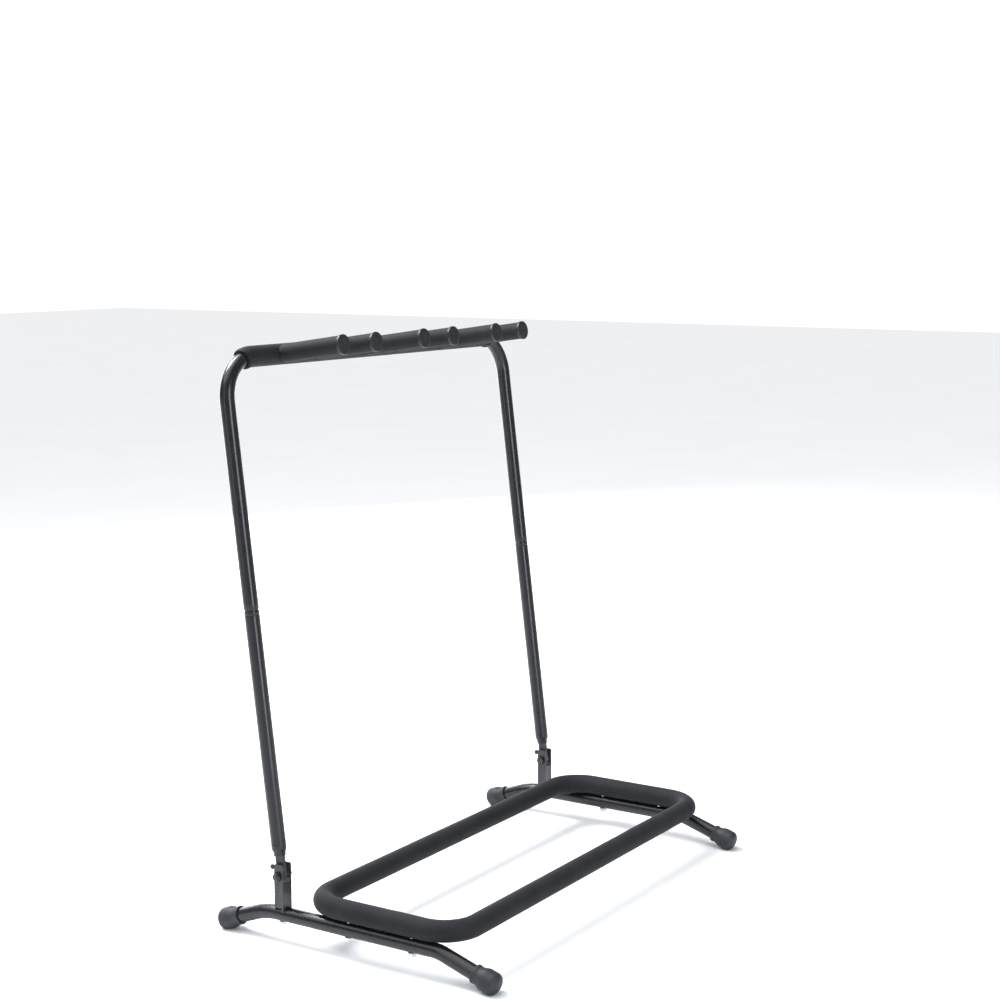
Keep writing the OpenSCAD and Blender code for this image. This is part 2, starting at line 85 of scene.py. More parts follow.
def solids(name):
    """The vertices of each separate solid of a CAD node, as arrays, from left to right."""
    bm = bmesh.new()
    bm.from_mesh(frame["nodes"][name].data)
    bmesh.ops.remove_doubles(bm, verts=bm.verts, dist=1e-6)
    unseen = set(bm.verts)
    found = []
    while unseen:
        stack = [unseen.pop()]
        group = []
        while stack:
            vert = stack.pop()
            group.append(tuple(vert.co))
            near = {edge.other_vert(vert) for edge in vert.link_edges} & unseen
            unseen -= near
            stack.extend(near)
        found.append(np.array(group))
    bm.free()
    return sorted(found, key=lambda p: (round(p[:, 0].min(), 3), round(p[:, 1].min(), 3)))


def distances(points, origin, axis):
    """How far each point is along an axis from an origin."""
    return (points - np.array(origin)) @ np.array(axis)


def extent(points, origin, axis):
    """How far points reach along an axis from an origin: (least, most)."""
    along = distances(points, origin, axis)
    return along.min(), along.max()


def middle(points):
    return Vector((points.min(0) + points.max(0)) / 2)


LEAN = Vector(joint("upper_frame_lift")["axis"]).normalized()
PEG_DIR = Vector((0, -LEAN.z, LEAN.y))
PIVOT = Vector(joint("frame_fold")["pos_m"])
HALF_SPAN = centre("right_bracket").x
TUBE_R = box("right_cross_leg")[1].x - HALF_SPAN
BAR = PIVOT + LEAN * (extent(node_points("upper_frame_tube"), PIVOT, LEAN)[1] - TUBE_R)

# Sizes that the frame doesn't state. A leg's front end is -1 and its back end is 1.
TUBE_WALL = 1.2 * MM
BAR_BEND_R = 52 * MM
LOOP_CORNER_R = 42 * MM
LEG_BEND_R = {-1: 50 * MM, 1: 100 * MM}
FLATTENED_BAR = 0.14 * MM
FLATTENED_LEG = 0.12 * MM
FOAM_GAP = 0.1 * MM


# ---- Mesh building ----

class Frame3:
    """A place and three directions: w runs along a part's axis, u and v across it."""

    def __init__(self, origin, w, u):
        self.o = Vector(origin)
        self.w = Vector(w).normalized()
        u = Vector(u)
        self.u = (u - self.w * u.dot(self.w)).normalized()
        self.v = self.w.cross(self.u)

    def at(self, angle, radius, along):
        return self.o + self.w * along + (self.u * math.cos(angle) + self.v * math.sin(angle)) * radius


def skin(rings, closed=False):
    """Faces over a list of rings of points. A ring of one point is a pole."""
    bm = bmesh.new()
    rows = [[bm.verts.new(p) for p in ring] for ring in rings]
    pairs = list(zip(rows, rows[1:]))
    if closed:
        pairs.append((rows[-1], rows[0]))
    for a, b in pairs:
        count = max(len(a), len(b))
        for i in range(count):
            j = (i + 1) % count
            if len(a) == 1:
                bm.faces.new((a[0], b[j], b[i]))
            elif len(b) == 1:
                bm.faces.new((a[i], a[j], b[0]))
            else:
                bm.faces.new((a[i], a[j], b[j], b[i]))
    bmesh.ops.recalc_face_normals(bm, faces=bm.faces)
    return bm


def lathe(profile, place, sides=96, closed=False, shape=None):
    """A turned solid. profile is (radius, distance along the axis), and shape may move each point."""
    rings = []
    for radius, along in profile:
        if radius <= 0:
            rings.append([place.at(0, 0, along)])
            continue
        ring = []
        for i in range(sides):
            angle = TAU * i / sides
            r, h = shape(angle, radius, along) if shape else (radius, along)
            ring.append(place.at(angle, r, h))
        rings.append(ring)
    return skin(rings, closed)


def arc(cx, cy, radius, start, end, steps=6):
    """Points of an arc in a profile, with its angles in degrees."""
    turns = [math.radians(start + (end - start) * i / steps) for i in range(steps + 1)]
    return [(cx + radius * math.cos(t), cy + radius * math.sin(t)) for t in turns]


def swept(stations, radius_at, sides=72, closed=False, start_rings=(), end_rings=()):
    """A tube over (point, tangent, up) stations. radius_at(i, angle) is its radius there.
    start_rings and end_rings are (radius, distance past the end) rings that close or line it."""
    rings = []
    frames = [Frame3(p, t, u) for p, t, u in stations]
    for i, place in enumerate(frames):
        rings.append([place.at(TAU * k / sides, radius_at(i, TAU * k / sides), 0) for k in range(sides)])

    def extra(place, r, d):
        return [place.at(TAU * k / sides, r, d) for k in range(sides)]

    before = [extra(frames[0], r, -d) for r, d in start_rings]
    after = [extra(frames[-1], r, d) for r, d in end_rings]
    return skin(before[::-1] + rings + after, closed)


def straight(a, b, up, step):
    """Stations along a straight line, both ends included."""
    a, b = Vector(a), Vector(b)
    count = max(2, round((b - a).length / step) + 1)
    tangent = (b - a).normalized()
    return [(a.lerp(b, i / (count - 1)), tangent, up) for i in range(count)]


def bend(middle_point, start_dir, tangent, radius, angle, up, step_degrees=2.5):
    """Stations round a bend, without its two ends. start_dir points from its centre to its start."""
    count = max(3, round(angle / step_degrees))
    found = []
    for i in range(1, count):
        t = math.radians(angle) * i / count
        out = start_dir * math.cos(t) + tangent * math.sin(t)
        way = tangent * math.cos(t) - start_dir * math.sin(t)
        found.append((middle_point + out * radius, way, up))
    return found


def tube_ends(radius, wall, round_r=0.3 * MM, depth=14 * MM):
    """Rings that finish a cut tube end: a rounded lip and some of its bore."""
    return [
        (radius - round_r * 0.3, round_r * 0.7),
        (radius - round_r, round_r),
        (radius - wall + round_r, round_r),
        (radius - wall + round_r * 0.3, round_r * 0.7),
        (radius - wall, 0),
        (radius - wall, -depth),
    ]


def joined(*parts):
    """One bmesh made of several."""
    whole = bmesh.new()
    for part in parts:
        mesh = bpy.data.meshes.new("part")
        part.to_mesh(mesh)
        part.free()
        whole.from_mesh(mesh)
        bpy.data.meshes.remove(mesh)
    return whole


def piece(name, bm, body, material, replaced, sharp=35):
    """Makes an object of a bmesh, rides it on a body and lets it stand for CAD nodes."""
    mesh = bpy.data.meshes.new(name)
    bm.to_mesh(mesh)
    bm.free()
    mesh.shade_smooth()
    mesh.set_sharp_from_angle(angle=math.radians(sharp))
    obj = bpy.data.objects.new(name, mesh)
    bpy.context.scene.collection.objects.link(obj)
    obj.data.materials.append(material)
    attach(obj, body)
    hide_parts(*replaced)
    return obj


# ---- Materials ----

class Shader:
    """A procedural material: short calls that add nodes to one Principled shader."""

    def __init__(self, name):
        self.material = bpy.data.materials.new(name)
        self.material.use_nodes = True
        self.tree = self.material.node_tree
        self.bsdf = self.tree.nodes["Principled BSDF"]
        self.coords = self.add("ShaderNodeTexCoord").outputs["Object"]

    def add(self, kind, **values):
        node = self.tree.nodes.new(kind)
        for key, value in values.items():
            setattr(node, key, value)
        return node

    def link(self, a, b):
        self.tree.links.new(a, b)

    def noise(self, scale, detail=3.0, rough=0.55, stretch=None):
        coords = self.coords
        if stretch:
            mapping = self.add("ShaderNodeMapping")
            mapping.inputs["Scale"].default_value = stretch
            self.link(coords, mapping.inputs["Vector"])
            coords = mapping.outputs["Vector"]
        node = self.add("ShaderNodeTexNoise")
        node.inputs["Scale"].default_value = scale
        node.inputs["Detail"].default_value = detail
        node.inputs["Roughness"].default_value = rough
        self.link(coords, node.inputs["Vector"])
        return node.outputs["Fac"]

    def cells(self, scale):
        node = self.add("ShaderNodeTexVoronoi", feature="SMOOTH_F1")
        node.inputs["Scale"].default_value = scale
        self.link(self.coords, node.inputs["Vector"])
        return node.outputs["Distance"]

    def mapped(self, source, low, high, lowest=0.3, highest=0.7):
        node = self.add("ShaderNodeMapRange")
        for key, value in zip(("From Min", "From Max", "To Min", "To Max"), (lowest, highest, low, high)):
            node.inputs[key].default_value = value
        self.link(source, node.inputs["Value"])
        return node.outputs["Result"]

    def blend(self, factor, a, b):
        node = self.add("ShaderNodeMix", data_type="RGBA")
        for socket, value in ((node.inputs["A"], a), (node.inputs["B"], b)):
            if isinstance(value, tuple):
                socket.default_value = (*value, 1)
            else:
                self.link(value, socket)
        self.link(factor, node.inputs["Factor"])
        return node.outputs["Result"]

    def bump(self, height, distance, strength=1.0, under=None):
        node = self.add("ShaderNodeBump")
        node.inputs["Distance"].default_value = distance
        node.inputs["Strength"].default_value = strength
        self.link(height, node.inputs["Height"])
        if under:
            self.link(under, node.inputs["Normal"])
        return node.outputs["Normal"]

    def set(self, **values):
        """Sets or links inputs of the shader, such as base_color or roughness."""
        for key, value in values.items():
            socket = self.bsdf.inputs[key.replace("_", " ").title().replace("Ior", "IOR")]
            if isinstance(value, (int, float)):
                socket.default_value = value
            elif isinstance(value, tuple):
                socket.default_value = (*value, 1)
            else:
                self.link(value, socket)
        return self


def paint_material(name, dark, light, rough):
    """Satin powder coat: orange peel, slow gloss changes and a little dust."""
    m = Shader(name)
    clouds = m.noise(38, 5)
    peel = m.noise(380, 1)
    base = m.blend(m.mapped(clouds, 0, 1), dark, light)
    dust = m.mapped(m.noise(160, 6, 0.7), 0, 0.2, 0.55, 0.8)
    m.set(
        base_color=m.blend(dust, base, tuple(c * 1.8 for c in light)),
        roughness=m.mapped(m.noise(130, 4), rough - 0.05, rough + 0.06),
        specular_ior_level=0.34,
        coat_weight=0.18,
        coat_roughness=0.14,
        normal=m.bump(peel, 0.006 * MM, 0.4),
    )
    return m.material


def foam_material(name, dark, light):
    """Closed-cell rubber foam: a matt skin with fine pores and slow tone changes."""
    m = Shader(name)
    pores = m.cells(1500)
    fine = m.noise(2600, 3, 0.65)
    tone = m.noise(26, 5, 0.6)
    base = m.blend(m.mapped(tone, 0, 1), dark, light)
    pore_tone = m.mapped(fine, 0, 0.45, 0.45, 0.75)
    m.set(
        base_color=m.blend(pore_tone, base, tuple(c * 0.62 for c in dark)),
        roughness=m.mapped(fine, 0.62, 0.86),
        specular_ior_level=0.22,
        sheen_weight=0.03,
        sheen_roughness=0.45,
        normal=m.bump(fine, 0.05 * MM, 0.6, m.bump(pores, 0.09 * MM, 0.5)),
    )
    return m.material


def rubber_material(name, dark, light):
    """Moulded rubber: fine spark-eroded grain, a chalky bloom and dusty low spots."""
    m = Shader(name)
    grain = m.noise(2400, 3, 0.7)
    bloom = m.noise(60, 6, 0.65)
    m.set(
        base_color=m.blend(m.mapped(bloom, 0, 1, 0.35, 0.7), dark, light),
        roughness=m.mapped(grain, 0.46, 0.66),
        specular_ior_level=0.36,
        normal=m.bump(grain, 0.035 * MM, 0.6, m.bump(bloom, 0.1 * MM, 0.3)),
    )
    return m.material


def plastic_material(name, dark, light):
    """Injection-moulded plastic with a light spark texture and faint flow marks."""
    m = Shader(name)
    grain = m.noise(3200, 2, 0.6)
    flow = m.noise(90, 3, 0.5, stretch=(1, 0.35, 1))
    m.set(
        base_color=m.blend(m.mapped(flow, 0, 1), dark, light),
        roughness=m.mapped(m.noise(240, 4), 0.38, 0.5),
        specular_ior_level=0.34,
        normal=m.bump(grain, 0.02 * MM, 0.6),
    )
    return m.material


def metal_material(name, dark, light, rough):
    """Plated or bare steel: cloudy tone, fine rub marks and uneven gloss."""
    m = Shader(name)
    clouds = m.noise(140, 6, 0.7)
    marks = m.noise(1900, 4, 0.6, stretch=(1, 1, 0.25))
    m.set(
        metallic=1.0,
        base_color=m.blend(m.mapped(clouds, 0, 1), dark, light),
        roughness=m.mapped(clouds, rough - 0.08, rough + 0.12),
        normal=m.bump(marks, 0.012 * MM, 0.6),
    )
    return m.material


def nylon_material():
    """Black nylon with a slight cloudiness."""
    m = Shader("nylon_washer")
    clouds = m.noise(300, 4)
    m.set(
        base_color=m.blend(m.mapped(clouds, 0, 1), (0.018, 0.018, 0.019), (0.028, 0.028, 0.03)),
        roughness=m.mapped(clouds, 0.35, 0.5),
        normal=m.bump(m.noise(1800, 2), 0.01 * MM, 0.5),
    )
    return m.material


TUBE_PAINT = paint_material("satin_black_paint", (0.007, 0.0074, 0.0095), (0.011, 0.0115, 0.014), 0.27)
BRACKET_PAINT = paint_material("bracket_black_paint", (0.026, 0.027, 0.030), (0.038, 0.039, 0.043), 0.40)
FOAM = foam_material("charcoal_foam", (0.009, 0.0094, 0.011), (0.016, 0.0165, 0.0185))
RUBBER = rubber_material("grey_black_rubber", (0.016, 0.0175, 0.021), (0.029, 0.031, 0.036))
CAP_PLASTIC = plastic_material("black_cap_plastic", (0.012, 0.013, 0.016), (0.017, 0.0185, 0.0215))
ZINC = metal_material("bright_zinc", (0.52, 0.53, 0.55), (0.70, 0.71, 0.73), 0.28)
DARK_STEEL = metal_material("black_oxide", (0.045, 0.044, 0.044), (0.085, 0.082, 0.08), 0.36)
BARE_STEEL = metal_material("rolled_steel", (0.25, 0.25, 0.255), (0.38, 0.38, 0.39), 0.42)
NYLON = nylon_material()

SLOT_MATERIALS = {
    "tube_paint": TUBE_PAINT, "bracket_paint": BRACKET_PAINT, "hidden_steel": BARE_STEEL, "foam": FOAM,
    "rubber": RUBBER, "cap_plastic": CAP_PLASTIC, "zinc": ZINC, "dark_fastener": DARK_STEEL, "nylon": NYLON,
}


def finish_cad_nodes():
    """Gives every CAD node the procedural material of its slot in the record."""
    for row in frame["record"]["subparts"]:
        materials = frame["nodes"][row["node"]].data.materials
        materials.clear()
        materials.append(SLOT_MATERIALS[row["material_slot"]])


# ---- Foam ----

LOOP_LOW, LOOP_HIGH = box("loop_foam")
LOOP_FOAM_R = (LOOP_HIGH.z - LOOP_LOW.z) / 2
BAR_FOAM_R = extent(node_points("crossbar_foam"), BAR, LEAN)[1]
SOFT_EDGE = 1.1 * MM
BORE_CHAMFER = 0.3 * MM
CAP_GAP = 0.02 * MM
WAVE_DEPTH = 0.09 * MM
WAVES_PER_M = 28


def waviness(point):
    """Slow unevenness of a foam surface, up to WAVE_DEPTH in or out."""
    return WAVE_DEPTH * noise.noise(point * WAVES_PER_M)


def loop_stations():
    """Stations round the base loop's axis, anticlockwise seen from above, from the middle of its back."""
    z = (LOOP_LOW.z + LOOP_HIGH.z) / 2
    step = 5 * MM
    front, back = LOOP_LOW.y + LOOP_FOAM_R, LOOP_HIGH.y - LOOP_FOAM_R
    r = LOOP_CORNER_R
    corners = [(-1, back, -X_AXIS), (-1, front, -Y_AXIS), (1, front, X_AXIS), (1, back, Y_AXIS)]
    seam = Vector((0, back, z))
    at = seam
    stations = []
    for side, y, way in corners:
        inward = Vector((-side, 1 if y == front else -1, 0)) * r
        corner = Vector((side * HALF_SPAN, y, z))
        hub = corner + inward
        turned = Vector((-way.y, way.x, 0))
        start = hub - turned * r
        stations += straight(at, start, Z_AXIS, step)[:-1]
        stations.append((start, way, Z_AXIS))
        stations += bend(hub, -turned, way, r, 90, Z_AXIS)
        at = hub + way * r
    stations += straight(at, seam, Z_AXIS, step)
    return stations[:-1]


def build_loop_foam():
    """The closed sleeve on the base loop. Its two ends butt in the middle of the back rail."""
    stations = loop_stations()
    seam = stations[0][0]
    beside_seam = (0.45, 1.0, 2.2)
    lead = [(seam + X_AXIS * d * MM, -X_AXIS, Z_AXIS) for d in reversed(beside_seam)]
    trail = [(seam - X_AXIS * d * MM, -X_AXIS, Z_AXIS) for d in beside_seam]
    stations = lead + stations[:1] + trail + stations[1:]
    groove, groove_edge = 1.0 * MM, 0.25 * MM
    dips = {2: groove_edge, 3: groove, 4: groove_edge}
    inset = 0.1 * MM
    crease_depth, crease_rate = 0.28 * MM, 26
    thinned = 0.35 * MM
    hubs = [Vector((s * (HALF_SPAN - LOOP_CORNER_R), y, stations[0][0].z))
            for s in (-1, 1)
            for y in (LOOP_LOW.y + LOOP_FOAM_R + LOOP_CORNER_R, LOOP_HIGH.y - LOOP_FOAM_R - LOOP_CORNER_R)]

    def radius(i, angle):
        point, tangent, _ = stations[i]
        place = Frame3(point, tangent, Z_AXIS)
        out = place.u * math.cos(angle) + place.v * math.sin(angle)
        r = LOOP_FOAM_R + waviness(point + out * LOOP_FOAM_R) - inset - dips.get(i, 0)
        hub = min(hubs, key=lambda h: (h - point).length)
        away = point - hub
        if away.length < LOOP_CORNER_R + MM:
            # Creases on the inside of a corner, and a stretched skin on its outside
            outward = out.dot(away.normalized())
            turn = math.atan2(away.y, away.x)
            r -= crease_depth * max(0.0, -outward) ** 2 * (0.5 + 0.5 * math.sin(turn * crease_rate))
            r -= thinned * max(0.0, outward) ** 2
        return r

    sleeve = swept(stations, radius, closed=True)
    foam = piece("loop_foam_sleeve", sleeve, "base", FOAM, ["loop_foam"])


def sleeve_profile(outer, bore, start, end):
    """Closed profile of a foam sleeve with soft outer edges."""
    edge = SOFT_EDGE
    step = 4 * MM
    count = max(2, round((end - start - 2 * edge) / step))
    run = [(outer, start + edge + (end - start - 2 * edge) * i / count) for i in range(1, count)]
    return (
        [(bore, start + BORE_CHAMFER), (bore + BORE_CHAMFER, start)]
        + [(outer - edge, start)] + arc(outer - edge, start + edge, edge, -90, 0)[1:]
        + run
        + arc(outer - edge, end - edge, edge, 0, 90)
        + [(bore + BORE_CHAMFER, end), (bore, end - BORE_CHAMFER)]
    )


def build_crossbar_foam():
    """The crossbar's sleeve, which follows the tube a little way round each bend."""
    points = node_points("crossbar_foam")
    hub = {s: Vector((s * (HALF_SPAN - BAR_BEND_R), 0, 0)) + BAR - LEAN * BAR_BEND_R for s in (-1, 1)}
    reach = np.arctan2(points[:, 0] - hub[1].x, distances(points, hub[1], LEAN)).max()
    degrees = math.degrees(reach)
    ends = {s: X_AXIS * s * math.sin(reach) + LEAN * math.cos(reach) for s in (-1, 1)}
    ways = {s: X_AXIS * math.cos(reach) - LEAN * s * math.sin(reach) for s in (-1, 1)}
    turn_step = 1.5
    stations = [(hub[-1] + ends[-1] * BAR_BEND_R, ways[-1], PEG_DIR)]
    stations += bend(hub[-1], ends[-1], ways[-1], BAR_BEND_R, degrees, PEG_DIR, turn_step)
    stations += straight(hub[-1] + LEAN * BAR_BEND_R, hub[1] + LEAN * BAR_BEND_R, PEG_DIR, 4 * MM)
    stations += bend(hub[1], LEAN, X_AXIS, BAR_BEND_R, degrees, PEG_DIR, turn_step)
    stations.append((hub[1] + ends[1] * BAR_BEND_R, ways[1], PEG_DIR))
    last = len(stations) - 1

    def radius(i, angle):
        point, tangent, up = stations[i]
        place = Frame3(point, tangent, up)
        round_off = {0: SOFT_EDGE, 1: 0.2 * MM}.get(min(i, last - i), 0)
        return BAR_FOAM_R + waviness(place.at(angle, BAR_FOAM_R, 0)) - WAVE_DEPTH - round_off

    bore = TUBE_R + FOAM_GAP
    lining = 12 * MM
    rings = [(bore + BORE_CHAMFER, 0), (bore, -BORE_CHAMFER), (bore, -lining)]
    sleeve = swept(stations, radius, start_rings=rings, end_rings=rings)
    foam = piece("crossbar_foam_sleeve", sleeve, "upper_frame", FOAM, ["crossbar_foam"])


def peg_place(i):
    """Origin on the crossbar's axis, with w out along the peg."""
    x = centre(f"peg_rod_{i}").x
    origin = Vector((x, BAR.y, BAR.z))
    points = node_points(f"peg_cap_{i}")
    return Frame3(origin, Vector(points.mean(0)) - origin, X_AXIS)


def build_peg_foam(i):
    """A square-cut sleeve whose inner end is pressed round the crossbar's foam."""
    place = peg_place(i)
    points = node_points(f"peg_foam_{i}")
    outer = (points[:, 0].max() - points[:, 0].min()) / 2
    start, end = extent(points, place.o, place.w)
    low, high = box(f"peg_rod_{i}")
    bore = (high.x - low.x) / 2 + FOAM_GAP
    gap = 0.12 * MM
    pressed = start + 6 * MM
    squeeze_reach, squeeze_depth = 3.5 * MM, 0.25 * MM

    def shape(angle, r, h):
        if h < pressed:
            saddle = math.sqrt(max((BAR_FOAM_R + gap) ** 2 - (r * math.sin(angle)) ** 2, 0))
            h += max(0.0, saddle - start) * (pressed - h) / (pressed - start)
        if r > outer - 0.01 * MM:
            squeeze = math.exp(-((h - start) / squeeze_reach) ** 2)
            r += waviness(place.at(angle, r, h) + X_AXIS * i) - WAVE_DEPTH - squeeze_depth * squeeze
        return r, h

    sleeve = lathe(sleeve_profile(outer, bore, start, end - CAP_GAP), place, closed=True, shape=shape)
    foam = piece(f"peg_foam_sleeve_{i}", sleeve, "upper_frame", FOAM, [f"peg_foam_{i}"])


# ---- Caps and feet ----

def build_peg_cap(i):
    """Push-in cap: a ribbed plug under a flat head with a soft rim and a small gate mark."""
    place = peg_place(i)
    points = node_points(f"peg_cap_{i}")
    inner, top = extent(points, place.o, place.w)
    head_r = (points[:, 0].max() - points[:, 0].min()) / 2
    seat = extent(node_points(f"peg_foam_{i}"), place.o, place.w)[1] + CAP_GAP
    plug_r = 4.4 * MM
    root_r = plug_r - 0.25 * MM
    rib_width = 1.0 * MM
    edge = 0.35 * MM
    rim = 1.2 * MM
    crown = 0.35 * MM
    ribs = []
    for k in range(4):
        h = inner + (2.5 + 2.6 * k) * MM
        ribs += [(root_r, h), (plug_r, h + rib_width / 2), (root_r, h + rib_width)]
    gate_mark = [(1.15 * MM, top - 0.01 * MM), (0.95 * MM, top - 0.16 * MM), (0, top - 0.18 * MM)]
    profile = (
        [(0, inner), (plug_r - 0.8 * MM, inner), (root_r, inner + 0.9 * MM)]
        + ribs
        + [(root_r, seat), (head_r - edge, seat)]
        + arc(head_r - edge, seat + edge, edge, -90, 0, 4)[1:]
        + arc(head_r - rim, top - crown - rim, rim, 0, 82, 9)
        + [(head_r * f, top - crown * f * f * 0.9) for f in (0.8, 0.6, 0.4, 0.2)]
        + gate_mark
    )
    piece(f"peg_cap_moulded_{i}", lathe(profile, place), "upper_frame", CAP_PLASTIC,
          [f"peg_cap_{i}"], sharp=50)


def leg_end(side, end):
    """The middle and the outward direction of a cross-leg's end."""
    points = node_points(f"{side}_cross_leg")
    reach = points[:, 1] * end
    sampled = 8 * MM
    ring = points[reach > reach.max() - sampled]
    mid = ring.mean(0)
    normal = np.linalg.svd(ring - mid)[2][2]
    return Vector(mid), Vector(normal * np.sign(normal[1] * end))


def build_foot(side, end):
    """Rubber foot: a lipped mouth, a narrower waist, a smooth flare and a domed end worn flat below."""
    name = f"{side}_{'front' if end < 0 else 'back'}_foot"
    tip, way = leg_end(side, end)
    points = node_points(name)
    mouth, far = extent(points, tip, way)
    place = Frame3(tip + way.normalized() * mouth, way, X_AXIS)
    length = far - mouth
    away = points - np.array(place.o)
    along = away @ np.array(way)
    radial = np.linalg.norm(away - np.outer(along, np.array(way)), axis=1)
    collar_width, collar_edge = 3.6 * MM, 0.5 * MM
    bulb = radial.max()
    collar = radial[along < collar_width + collar_edge].max()
    bore = TUBE_R + 0.05 * MM
    bore_depth, bore_cone = length - 7.5 * MM, length - 3 * MM
    lip = 0.9 * MM
    waist = collar - 0.45 * MM
    flare_start, flare_end = 4.9 * MM, length - 16.5 * MM
    dome_height = 8 * MM
    dome = length - dome_height
    steps = 14
    flare = [(waist + (bulb - waist) * (1 - math.cos(math.pi * k / steps)) / 2,
              flare_start + (flare_end - flare_start) * k / steps) for k in range(steps + 1)]
    body = [(bulb, flare_end + (dome - flare_end) * k / 3) for k in (1, 2)]
    cap = [(bulb * (0.35 + 0.65 * math.cos(math.radians(a))), dome + dome_height * math.sin(math.radians(a)))
           for a in range(0, 90, 6)]
    profile = (
        [(0, bore_cone), (bore, bore_depth), (bore, 0.7 * MM)]
        + [(bore + 0.25 * MM, 0.2 * MM), (bore + 0.7 * MM, 0)]
        + arc(collar - lip, lip, lip, -90, 0, 5)
        + [(collar, collar_width)]
        + arc(collar - collar_edge, collar_width, collar_edge, 0, 70, 4)[1:]
        + flare + body + cap + [(bulb * 0.34, length), (0, length)]
    )
    bm = lathe(profile, place, sides=112)
    for vert in bm.verts:
        if vert.co.z < 0:
            vert.co.z = 0
    piece(f"{name}_rubber", bm, "base", RUBBER, [name], sharp=50)


# ---- Tubes ----

def build_cross_leg(side):
    """A tube with two gentle bends, slightly flattened where it turns."""
    name = f"{side}_cross_leg"
    step, turn_step = 6 * MM, 1.5
    spread = 14 * MM
    top = box(name)[1].z - TUBE_R
    ends = {}
    for end in (-1, 1):
        tip, way = leg_end(side, end)
        tip.x = SIDES[side] * HALF_SPAN
        normal = X_AXIS.cross(way) * end
        # The bend's centre is its radius below the raised middle and below the end's line
        hub = tip - normal * LEG_BEND_R[end]
        hub += way * ((top - LEG_BEND_R[end] - hub.z) / way.z)
        ends[end] = tip, way, normal, hub, math.degrees(math.asin(-way.z))
    tip, way, normal, hub, slope = ends[-1]
    r = LEG_BEND_R[-1]
    stations = straight(tip, hub + normal * r, X_AXIS, step)
    stations += bend(hub, normal, -way, r, slope, X_AXIS, turn_step)
    raised = hub + Z_AXIS * r
    hubs = [hub]
    tip, way, normal, hub, slope = ends[1]
    r = LEG_BEND_R[1]
    stations += straight(raised, hub + Z_AXIS * r, X_AXIS, step)
    stations += bend(hub, Z_AXIS, Y_AXIS, r, slope, X_AXIS, turn_step)
    stations += straight(hub + normal * r, tip, X_AXIS, step)
    hubs.append(hub)

    def radius(i, angle):
        y = stations[i][0].y
        turned = max(math.exp(-((y - h.y) / spread) ** 2) for h in hubs)
        return TUBE_R + turned * FLATTENED_LEG * math.cos(2 * angle)

    lips = tube_ends(TUBE_R, TUBE_WALL)
    piece(f"{name}_painted", swept(stations, radius, start_rings=lips, end_rings=lips),
          "base", TUBE_PAINT, [name])


def build_upper_frame():
    """The upper frame's tube: two legs and the crossbar in one bent length."""
    start = extent(node_points("upper_frame_tube"), PIVOT, LEAN)[0]
    foot = {s: Vector((s * HALF_SPAN, PIVOT.y, PIVOT.z)) + LEAN * start for s in (-1, 1)}
    shoulder = {s: Vector((s * HALF_SPAN, BAR.y, BAR.z)) - LEAN * BAR_BEND_R for s in (-1, 1)}
    hub = {s: shoulder[s] - X_AXIS * s * BAR_BEND_R for s in (-1, 1)}
    step = 8 * MM
    stations = straight(foot[-1], shoulder[-1], PEG_DIR, step)
    stations += bend(hub[-1], -X_AXIS, LEAN, BAR_BEND_R, 90, PEG_DIR)
    stations += straight(hub[-1] + LEAN * BAR_BEND_R, hub[1] + LEAN * BAR_BEND_R, PEG_DIR, step)
    stations += bend(hub[1], LEAN, X_AXIS, BAR_BEND_R, 90, PEG_DIR)
    stations += straight(shoulder[1], foot[1], PEG_DIR, step)

    def radius(i, angle):
        point = stations[i][0]
        away = min((point - hub[s]).length for s in (-1, 1))
        flattened = FLATTENED_BAR if away < BAR_BEND_R + MM else 0.0
        return TUBE_R + flattened * math.cos(2 * angle)

    ends = tube_ends(TUBE_R, TUBE_WALL, 0.35 * MM, 20 * MM)
    piece("upper_frame_painted", swept(stations, radius, start_rings=ends, end_rings=ends),
          "upper_frame", TUBE_PAINT, ["upper_frame_tube"])


def build_lower_upright(side):
    """Lower tube: a swaged neck crimped round the tongue, and a rolled top edge with a sizing ring."""
    name = f"{side}_lower_upright"
    place = Frame3(PIVOT + X_AXIS * SIDES[side] * HALF_SPAN, LEAN, X_AXIS)
    points = node_points(name)
    start, end = extent(points, place.o, place.w)
    lowest = points[distances(points, place.o, place.w) < start + 0.1 * MM]
    neck_r = distances(lowest, place.o, X_AXIS).max()
    neck_bore = neck_r - TUBE_WALL
    swaged = 9 * MM
    neck_end, taper_end = start + 3 * MM, start + swaged
    r = TUBE_R
    ring_r = r - 0.18 * MM
    steps = 12
    taper = [(neck_r + (r - neck_r) * (1 - math.cos(math.pi * k / steps)) / 2,
              neck_end + (taper_end - neck_end) * k / steps) for k in range(steps + 1)]
    count = 34
    run = [(r, taper_end + (end - 6 * MM - taper_end) * k / count) for k in range(1, count + 1)]
    ring = [(r, end - 5.6 * MM), (ring_r, end - 5.3 * MM), (ring_r, end - 5.0 * MM), (r, end - 4.7 * MM)]
    roll = 0.96 * MM
    neck_edge = 0.35 * MM
    crimp_depth = 0.55 * MM
    profile = (
        [(neck_bore, start + 5 * MM), (neck_bore, start + 0.3 * MM), (neck_bore + 0.3 * MM, start),
         (neck_r - neck_edge, start), (neck_r, start + neck_edge), (neck_r, start + 1.6 * MM)]
        + taper + run + ring
        + arc(r - roll, end - roll, roll, 0, 90, 8)
        + [(r - TUBE_WALL, end - 0.02 * MM), (r - TUBE_WALL, end - 12 * MM)]
    )

    def shape(angle, radius, along):
        crimp = max(0.0, 1 - (along - start) / swaged) ** 2
        if radius > neck_r - 0.01 * MM:
            radius -= crimp * crimp_depth * math.sin(angle) ** 2
        return radius, along

    piece(f"{name}_painted", lathe(profile, place, shape=shape), "lower_uprights",
          TUBE_PAINT, [name], sharp=40)


# ---- Sheet metal and hardware ----

